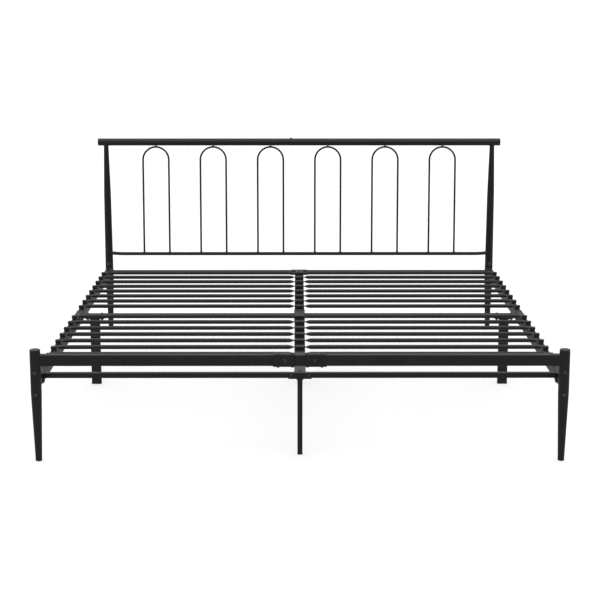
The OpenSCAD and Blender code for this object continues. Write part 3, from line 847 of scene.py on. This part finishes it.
class BED_OT_plates(Operator):
    """Model the side rails' splice plates and the plates at the middle of the beam"""

    bl_idname = "bed.plates"
    bl_label = "Joint Plates"

    def execute(self, context):
        corner = context.scene.bed_tubes.plate_corner
        a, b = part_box("side_rail_splices")
        side = high("side_rail_head_right").x
        splice = add_plate("splice_right", (side, a.y, a.z), b, 0, corner, PLATE_EDGE)
        both_in_one("splice_plates", splice, "bracket_paint", "side_rail_splices")
        for level in ("top", "bottom"):
            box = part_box("mid_plate_" + level)
            plate = add_plate("beam_plate_" + level, *box, 2, corner, PLATE_EDGE)
            done(plate, "bracket_paint", "mid_plate_" + level)
        return {"FINISHED"}


class BED_OT_cross_members(Operator):
    """Model the six half cross members with their flanges"""

    bl_idname = "bed.cross_members"
    bl_label = "Cross Members"

    def execute(self, context):
        tubes = context.scene.bed_tubes
        a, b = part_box("mid_cross_right")
        z, flange_x = DECK - size("centre_beam_foot").z, b.x - tubes.plate
        tube = add_tube("cross_tube", (0, a.y, z), (flange_x - 0.003, b.y, DECK), 0, 0.002)
        round_edges(tube, lambda m, d: m.x < NEAR, tubes.edge, 1)
        weld_end(tube, (1, 0, 0), *LIGHT_WELD)
        flange = add_plate("flange", (flange_x, a.y, a.z), b, 0, 0.003, tubes.edge, 3)
        half = join("cross_tube", tube, flange)
        for place in PLACES:
            spot = at((0, middle(place + "_cross_right").y, 0))
            copy = spread(duplicate(half), f"cross_tube_{place}_right", [spot])
            both(copy, "frame_paint", place + "_cross")
        bpy.data.objects.remove(half)
        return {"FINISHED"}


class BED_OT_beam(Operator):
    """Model the two halves of the centre beam"""

    bl_idname = "bed.beam"
    bl_label = "Centre Beam"

    def execute(self, context):
        head = add_tube("beam_tube_head", *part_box("centre_beam_head"), 1, 0.0025)
        soften(head, context.scene.bed_tubes.edge)
        foot = mirrored(head, "beam_tube_foot", y=-1)
        done(head, "frame_paint", "centre_beam_head")
        done(foot, "frame_paint", "centre_beam_foot")
        return {"FINISHED"}


class BED_OT_brackets(Operator):
    """Model the folded brackets at the ends of the beam"""

    bl_idname = "bed.brackets"
    bl_label = "Beam Brackets"

    def execute(self, context):
        tubes = context.scene.bed_tubes
        a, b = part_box("head_bracket")
        beam_end, beam = high("centre_beam_head").y, high("centre_beam_head").x
        bracket = add_box("bracket_head", (a.x, beam_end, a.z), (b.x, b.y, a.z + tubes.plate))
        cut_plane((0, b.y - tubes.plate, 0), (0, 1, 0))
        for x in (-beam, beam):
            cut_plane((x, 0, 0), (1, 0, 0))
        pick(bracket, lambda m, n: n.z > 0.9 and m.y > b.y - tubes.plate)
        extrude((0, 0, b.z - a.z - tubes.plate))
        pick(bracket, lambda m, n: n.y < -0.9 and m.y < beam_end + NEAR and abs(m.x) < beam)
        extrude((0, a.y - beam_end, 0))
        round_edges(bracket, lambda m, d: abs(d.y) > 0.9 and abs(m.x) > b.x - NEAR
                    and m.z > b.z - NEAR, tubes.plate_corner, 4)
        round_edges(bracket, lambda m, d: abs(d.z) > 0.9 and m.y < a.y + NEAR, 0.006, 4)
        round_edges(bracket, lambda m, d: abs(d.x) > 0.9 and m.y > b.y - NEAR
                    and m.z < a.z + NEAR, 0.0026)
        soften(bracket, tubes.edge)
        foot = mirrored(bracket, "bracket_foot", y=-1)
        done(bracket, "bracket_paint", "head_bracket")
        done(foot, "bracket_paint", "foot_bracket")
        return {"FINISHED"}


class BED_OT_inner_legs(Operator):
    """Model the square centre legs and the flat mid legs"""

    bl_idname = "bed.inner_legs"
    bl_label = "Inner Legs"

    def execute(self, context):
        tubes = context.scene.bed_tubes
        a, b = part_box("centre_leg_mid")
        side, neck = b.y, 0.010
        leg = add_tube("square_leg", (-side, -side, a.z), (side, side, b.z - neck), 2, 0.002)
        grow_end(leg, (0, 0, 0), UP,
                 [(b.z - neck, side, side), (b.z - 0.6 * neck, side * 1.05, side),
                  (b.z - 0.2 * neck, b.x * 0.9, side), (b.z, b.x, side)])
        for place in PLACES:
            node = "centre_leg_" + place
            copy = spread(duplicate(leg), "square_leg_" + place, [at((0, middle(node).y, 0))])
            done(copy, "frame_paint", node)
        bpy.data.objects.remove(leg)

        a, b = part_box("mid_leg_right")
        x, half = (a.x + b.x) / 2, context.scene.bed_legs.flat_width / 2
        flat = add_tube("flat_leg", (x - half, a.y, a.z), (x + half, b.y, b.z - 0.006), 2,
                        tubes.corner)
        weld_end(flat, (0, 0, 1), *LIGHT_WELD)
        plate = add_plate("flat_leg_plate", (a.x, a.y, b.z - tubes.plate), b, 2, 0.004,
                          tubes.edge, 3)
        both(join("flat_leg_right", flat, plate), "frame_paint", "mid_leg")
        return {"FINISHED"}


class BED_OT_glides(Operator):
    """Model the plastic glides under all the legs"""

    bl_idname = "bed.glides"
    bl_label = "Floor Glides"

    def execute(self, context):
        legs = context.scene.bed_legs
        radius, plug = legs.foot_radius, high("floor_glides").z - GLIDE_TOP
        shoe = [(0, 0.003), (0.0006, 0.0015), (0.0016, 0.0005), (0.003, 0),
                (GLIDE_TOP - 0.0012, 0), (GLIDE_TOP - 0.0008, 0.0005), (GLIDE_TOP, 0.0005)]
        glide = tapered("round_glide", 0, 0, [(z, radius - cut) for z, cut in shoe], 32)
        step_end(glide, UP, 0.001, plug)
        glides = [spread(glide, "round_glides",
                         [at((x, y, 0)) for x in (-LEG_X, LEG_X) for y in (-LEG_Y, LEG_Y)])]
        square = high("centre_leg_mid").y
        blocks = [("square_glides", square, square,
                   [(0, middle("centre_leg_" + place).y) for place in PLACES]),
                  ("flat_glides", legs.flat_width / 2, high("mid_leg_right").y,
                   [(sign * middle("mid_leg_right").x, 0) for sign in (-1, 1)])]
        for name, wide, deep, places in blocks:
            block = add_tube(name, (-wide, -deep, 0), (wide, deep, GLIDE_TOP), 2, 0.002)
            round_edges(block, lambda m, d: m.z < NEAR, 0.0012, 2)
            step_end(block, UP, 0.0016, plug)
            glides.append(spread(block, name, [at((x, y, 0)) for x, y in places]))
        done(join("glides", *glides), "glide_plastic", "floor_glides")
        return {"FINISHED"}


# ---- slats ----

SEAT_CORNER, SEAT_TOP_EDGE = 0.003, 0.0018
SLOT_PLAY = 0.0004  # to each side of a slat's flat end
CAP_WALL = 0.0033  # at a cap's outer end
HOLDER_WEB = 0.004  # half of the wall between a holder's two slots
PEG_RADIUS = 0.004


def row_places(node):
    """Where each row of slats lies along the bed, taken from a group of them."""
    slats = bpy.context.scene.bed_slats
    half = max(slats.blade_width / 2, slats.radius)
    first, last = low(node).y + half, high(node).y - half
    return [first + (last - first) * i / (slats.rows - 1) for i in range(slats.rows)]


def all_rows():
    return row_places("slats_foot_right") + row_places("slats_head_right")


def plastic_seat(name, node, long, foot, room, slots):
    """A seat for flat slat ends, slotted for them, on a narrower base with a peg below.

    The base's height is a share of the whole, and room is half of a slot's height.
    """
    slats = bpy.context.scene.bed_slats
    height, slat_z = high(node).z - DECK, SLAT_Z - DECK
    wide, slot = slats.seat_width / 2, slats.blade_width / 2 + SLOT_PLAY
    seat = add_box(name, (-long, -wide, foot * height), (long, wide, height))
    round_edges(seat, along(2), SEAT_CORNER)
    round_edges(seat, lambda m, d: m.z > height - NEAR, SEAT_TOP_EDGE)
    step_end(seat, DOWN, slats.seat_lip, foot * height)
    for a, b in slots:
        carve(seat, add_box("slot", (a, -slot, slat_z - room), (b, slot, slat_z + room)))
    peg = add_rod("peg", PEG_RADIUS, (0, 0, low(node).z - DECK), (0, 0, 0.001), 14)
    return join(name, seat, peg)


class BED_OT_slats(Operator):
    """Model one half slat, pressed flat at its ends, and copy it into its four groups"""

    bl_idname = "bed.slats"
    bl_label = "Slats"

    def execute(self, context):
        slats = context.scene.bed_slats
        a, b = low("slats_head_right").x, high("slats_head_right").x
        full = slats.blade_length + slats.pinch
        r, wide, thin = slats.radius, slats.blade_width / 2, slats.blade_thickness / 2
        slat = add_rod("slat", r, (a + full, 0, 0), (b - full, 0, 0), 20)
        press = [(0, 0), (0.15, 0.03), (0.35, 0.14), (0.55, 0.32), (0.75, 0.58), (0.9, 0.8), (1, 1)]
        stations = [(slats.pinch * t, r + (wide - r) * p, r + (thin - r) * p) for t, p in press]
        stations += [(full - 0.0008, wide, thin), (full, wide - 0.0008, thin - 0.0006)]
        for sign, x in ((1, b - full), (-1, a + full)):
            grow_end(slat, (x, 0, 0), (sign, 0, 0), stations)
        other = mirrored(slat, "slat_other", x=-1)
        for side, piece in (("right", slat), ("left", other)):
            for end in ("foot", "head"):
                node = f"slats_{end}_{side}"
                places = [at((0, y, SLAT_Z)) for y in row_places(node)]
                group = spread(duplicate(piece), f"slat_tubes_{end}_{side}", places)
                done(group, "slat_paint", node, smooth=50)
            bpy.data.objects.remove(piece)
        return {"FINISHED"}


class BED_OT_slat_caps(Operator):
    """Model one plastic cap for a slat's outer end and copy it along both side rails"""

    bl_idname = "bed.slat_caps"
    bl_label = "Slat Caps"

    def execute(self, context):
        long = context.scene.bed_slats.cap_length / 2
        cap = plastic_seat("slat_cap", "slat_caps", long, 0.4, 0.0021,
                           [(-2 * long, long - CAP_WALL)])
        x, turned = high("slat_caps").x - long, Matrix.Rotation(pi, 4, "Z")
        places = [at((x, y, DECK)) for y in all_rows()]
        places += [at((-x, y, DECK)) @ turned for y in all_rows()]
        done(spread(cap, "slat_end_caps", places), "seat_plastic", "slat_caps")
        return {"FINISHED"}


class BED_OT_slat_holders(Operator):
    """Model one double plastic seat for the slats' inner ends and copy it along the beam"""

    bl_idname = "bed.slat_holders"
    bl_label = "Slat Holders"

    def execute(self, context):
        long = high("slat_holders").x
        seat = plastic_seat("slat_holder", "slat_holders", long, 0.36, 0.0020,
                            [(HOLDER_WEB, 2 * long), (-2 * long, -HOLDER_WEB)])
        done(spread(seat, "slat_seats", [at((0, y, DECK)) for y in all_rows()]),
             "seat_plastic", "slat_holders")
        return {"FINISHED"}


# ---- fasteners ----

NUT_HEIGHT, NUT_CORNER = 1.6, 1.88  # times the radius of its bolt
LEG_BOLT_PROUD, LEG_BOLT_SUNK, LEG_BOLT_END = 0.004, 0.0012, 0.001

# How far bolts and screws stand to each side of the middle of their joint.
CLAMP_BOLT_X = 0.025
SPLICE_BOLT_Y, SPLICE_BOLT_Z = 0.055, 0.009
BRACKET_BOLT_X = 0.0315
FLAT_LEG_BOLT_X = 0.0295
BEAM_SCREW_Y = 0.045
TOP_SCREW_X = 0.038

TONGUE_SCREW_IN = 0.012  # from the end of the beam
BRACKET_DEPTH = 0.022  # from a bracket's face to its nuts
CLAMP_BOLT, SPLICE_BOLT, SHORT_BOLT, SCREW = 0.046, 0.033, 0.027, 0.008  # lengths


def socket_bolt(name, head, height, shank, length):
    """A button-head bolt with a hexagon socket, its head on +Z and its shank below."""
    bolt = add_rod(name, head, (0, 0, 0), (0, 0, 0.30 * height), 24)
    grow_end(bolt, (0, 0, 0), UP, [(0.30 * height, head), (0.62 * height, 0.93 * head),
                                   (0.86 * height, 0.78 * head), (height, 0.55 * head)])
    carve(bolt, add_rod("socket", 0.42 * head, (0, 0, 0.35 * height), (0, 0, 2 * height), 6))
    body = add_rod("shank", shank, (0, 0, -length), (0, 0, 0.2 * height), 16)
    round_edges(body, lambda m, d: m.z < -length + NEAR, 0.0006, 1)
    return join(name, bolt, body)


def small_bolt(name, length):
    """A socket bolt or screw of the size that the joints share."""
    parts = bpy.context.scene.bed_fasteners
    return socket_bolt(name, parts.screw_head, parts.screw_height, parts.screw_radius, length)


def hex_nut(name, shank):
    """A hexagon nut with chamfered corners, standing on the ground plane."""
    height, corner, chamfer = NUT_HEIGHT * shank, NUT_CORNER * shank, 0.0008
    blank = add_rod(name, corner, (0, 0, 0), (0, 0, height), 6)
    turned = add_rod("turned", corner - 0.0004, (0, 0, 0), (0, 0, chamfer), 36)
    grow_end(turned, (0, 0, 0), UP,
             [(chamfer, corner + 0.0002), (height - chamfer, corner + 0.0002),
              (height, corner - 0.0007)])
    carve(blank, turned, "INTERSECT")
    return blank


def clamp_middle():
    """How far out the middle of a clamp's two bolts lies."""
    inner = low("foot_rail_right").x
    return inner + 0.44 * (high("foot_rail_clamps").x - inner)


class BED_OT_leg_bolts(Operator):
    """Model the bolts through the legs and posts, with their nuts"""

    bl_idname = "bed.leg_bolts"
    bl_label = "Leg Bolts"

    def execute(self, context):
        parts = context.scene.bed_fasteners
        a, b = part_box("leg_bolts")
        face, nut_y = b.y - LEG_BOLT_PROUD, high("leg_nuts").y
        inner = nut_y - NUT_HEIGHT * parts.bolt_radius - LEG_BOLT_END
        bolt = socket_bolt("leg_bolt", parts.bolt_head, LEG_BOLT_PROUD + LEG_BOLT_SUNK,
                           parts.bolt_radius, face - inner)
        nut = hex_nut("leg_nut", parts.bolt_radius)
        places = [(x, end, z) for x in (-LEG_X, LEG_X) for end in (-1, 1)
                  for z in (a.z + parts.bolt_head, b.z - parts.bolt_head)]
        bolts = [at((x, end * (face - LEG_BOLT_SUNK), z), (0, end, 0)) for x, end, z in places]
        nuts = [at((x, end * nut_y, z), (0, -end, 0)) for x, end, z in places]
        done(spread(bolt, "leg_socket_bolts", bolts), "bolt_steel", "leg_bolts")
        done(spread(nut, "leg_hex_nuts", nuts), "nut_steel", "leg_nuts")
        return {"FINISHED"}


class BED_OT_joint_bolts(Operator):
    """Model the small bolts and nuts of the clamps, splices, brackets and mid legs"""

    bl_idname = "bed.joint_bolts"
    bl_label = "Joint Bolts"

    def execute(self, context):
        radius, plate = context.scene.bed_fasteners.screw_radius, context.scene.bed_tubes.plate
        clamp_a, clamp_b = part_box("foot_rail_clamps")
        side_in, side = low("side_rail_head_right").x, high("side_rail_head_right").x
        side_z, cross_z = (SIDE_LOW + DECK) / 2, (DECK + low("centre_beam_foot").z) / 2
        bracket, clamp = high("head_bracket").y, clamp_middle()

        bolts, nuts = [], []
        for sx in (-1, 1):
            for x in (clamp - CLAMP_BOLT_X, clamp + CLAMP_BOLT_X):
                bolts.append((at((sx * x, -LEG_Y, clamp_b.z)), CLAMP_BOLT))
                nuts.append(at((sx * x, -LEG_Y, clamp_a.z), DOWN))
            for y in (-SPLICE_BOLT_Y, SPLICE_BOLT_Y):
                for z in (side_z - SPLICE_BOLT_Z, side_z + SPLICE_BOLT_Z):
                    bolts.append((at((sx * (side + plate), y, z), (sx, 0, 0)), SPLICE_BOLT))
                    nuts.append(at((sx * side_in, y, z), (-sx, 0, 0)))
            for end in (-1, 1):
                x, back = sx * BRACKET_BOLT_X, end * (bracket - BRACKET_DEPTH)
                bolts.append((at((x, end * bracket, cross_z), (0, end, 0)), SHORT_BOLT))
                nuts.append(at((x, back, cross_z), (0, -end, 0)))
        made = [spread(small_bolt("joint_bolt", long), "joint_bolt",
                       [place for place, length in bolts if length == long])
                for long in (CLAMP_BOLT, SPLICE_BOLT, SHORT_BOLT)]
        done(join("joint_socket_bolts", *made), "bolt_steel", "joint_bolts")
        nut = hex_nut("joint_nut", radius)
        done(spread(nut, "joint_hex_nuts", nuts), "nut_steel", "joint_nuts")

        leg, under = middle("mid_leg_right").x, high("mid_leg_nuts").z
        places = [sx * (leg + dx) for sx in (-1, 1) for dx in (-FLAT_LEG_BOLT_X, FLAT_LEG_BOLT_X)]
        bolt = small_bolt("mid_leg_bolt", SHORT_BOLT)
        done(spread(bolt, "mid_leg_socket_bolts", [at((x, 0, DECK)) for x in places]),
             "bolt_steel", "mid_leg_bolts")
        nut = hex_nut("mid_leg_nut", radius)
        done(spread(nut, "mid_leg_hex_nuts", [at((x, 0, under), DOWN) for x in places]),
             "nut_steel", "mid_leg_nuts")
        return {"FINISHED"}


class BED_OT_plate_screws(Operator):
    """Model the screws along the beam, in the flanges and clamps and on the top rail"""

    bl_idname = "bed.plate_screws"
    bl_label = "Plate Screws"

    def execute(self, context):
        plate, clamp = context.scene.bed_tubes.plate, clamp_middle()
        flange = high("mid_cross_right").x - plate
        flange_z = SIDE_LOW + (DECK - SIDE_LOW - size("centre_beam_foot").z) / 2
        tongue = high("centre_beam_head").y - TONGUE_SCREW_IN
        ends = [middle(place + "_cross_right").y for place in PLACES]
        places = [at((0, 0, DECK + plate))]
        for sx in (-1, 1):
            places.append(at((sx * clamp, low("foot_rail_clamps").y,
                              middle("foot_rail_right").z), (0, -1, 0)))
            places += [at((sx * flange, y, flange_z), (-sx, 0, 0)) for y in ends]
            places += [at((0, sx * tongue, DECK)), at((0, sx * BEAM_SCREW_Y, DECK + plate))]
        places.append(at((-TOP_SCREW_X, LEG_Y, high("top_rail_right").z)))
        done(spread(small_bolt("plate_screw", SCREW), "plate_socket_screws", places),
             "bolt_steel", "plate_screws")
        return {"FINISHED"}


class BED_OT_inner_bars(Operator):
    """Finish the bars inside the joints, which keep their CAD shape"""

    bl_idname = "bed.inner_bars"
    bl_label = "Inner Bars"

    def execute(self, context):
        for node in ("top_rail_joint", "lower_rail_pin", "side_rail_inserts", "cross_joint_bars"):
            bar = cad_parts[node]
            bar.data.materials.clear()
            bar.data.materials.append(finish_of("inner_steel"))
        return {"FINISHED"}


# ---- stage ----

FLOOR_SIZE = 500
SENSOR_WIDTH = 36  # millimetres
VIEW_DISTANCE = 1000


class BED_OT_stage(Operator):
    """Set up the pale floor, the soft lights and the camera"""

    bl_idname = "bed.stage"
    bl_label = "Stage"

    def execute(self, context):
        look = context.scene.bed_stage
        deselect()
        bpy.ops.mesh.primitive_plane_add(size=FLOOR_SIZE)
        floor = bpy.context.object
        floor.name = floor.data.name = "studio_floor"
        floor.data.materials.append(floor_paint("studio_floor", look.floor))
        floor.visible_glossy = False

        world = bpy.data.worlds.new("studio")
        world.use_nodes = True
        surround = world.node_tree.nodes["Background"]
        surround.inputs["Color"].default_value = (1, 1, 1, 1)
        surround.inputs["Strength"].default_value = look.surround
        context.scene.world = world

        bpy.ops.object.light_add(type="SUN", location=(0, 0, 4))
        light = bpy.context.object
        light.name = light.data.name = "overhead_dome"
        light.data.energy = look.overhead
        light.data.angle = look.overhead_spread
        light.data.use_shadow = False

        bpy.ops.object.camera_add(location=look.camera_place, rotation=look.camera_turn)
        camera = bpy.context.object
        camera.name = camera.data.name = "studio_camera"
        camera.data.lens = look.lens
        camera.data.sensor_width = SENSOR_WIDTH
        camera.data.clip_end = VIEW_DISTANCE
        context.scene.camera = camera
        context.scene.view_settings.view_transform = "Standard"
        return {"FINISHED"}


PIECES = (
    BED_OT_foot_legs, BED_OT_leg_caps, BED_OT_posts, BED_OT_top_rail, BED_OT_lower_rail,
    BED_OT_arches, BED_OT_foot_rail, BED_OT_clamps, BED_OT_side_rails, BED_OT_plates,
    BED_OT_cross_members, BED_OT_beam, BED_OT_brackets, BED_OT_inner_legs, BED_OT_glides,
    BED_OT_slats, BED_OT_slat_caps, BED_OT_slat_holders, BED_OT_leg_bolts, BED_OT_joint_bolts,
    BED_OT_plate_screws, BED_OT_inner_bars, BED_OT_stage,
)
GROUPS = (
    ("bed_legs", BedLegSizes), ("bed_tubes", BedTubeSizes), ("bed_slats", BedSlatSizes),
    ("bed_headboard", BedHeadboardSizes), ("bed_fasteners", BedFastenerSizes),
    ("bed_finish", BedFinish), ("bed_stage", BedStage),
)


class BED_PT_sidebar(Panel):
    """Sizes, colours and pieces of the bed frame"""

    bl_idname = "BED_PT_sidebar"
    bl_label = "Metal Bed Frame"
    bl_space_type = "VIEW_3D"
    bl_region_type = "UI"
    bl_category = "Bed Frame"

    def draw(self, context):
        for name, group in GROUPS:
            box = self.layout.box()
            box.label(text=group.__doc__)
            for prop in group.__annotations__:
                box.prop(getattr(context.scene, name), prop)
        for piece in PIECES:
            self.layout.operator(piece.bl_idname)


CLASSES = tuple(group for _, group in GROUPS) + PIECES + (BED_PT_sidebar,)


def register():
    for cls in CLASSES:
        bpy.utils.register_class(cls)
    for name, group in GROUPS:
        setattr(bpy.types.Scene, name, PointerProperty(type=group))


def unregister():
    for name, _ in GROUPS:
        delattr(bpy.types.Scene, name)
    for cls in reversed(CLASSES):
        bpy.utils.unregister_class(cls)


def main():
    register()
    for piece in PIECES:
        getattr(bpy.ops.bed, piece.bl_idname.split(".")[1])()


if __name__ == "__main__":
    main()
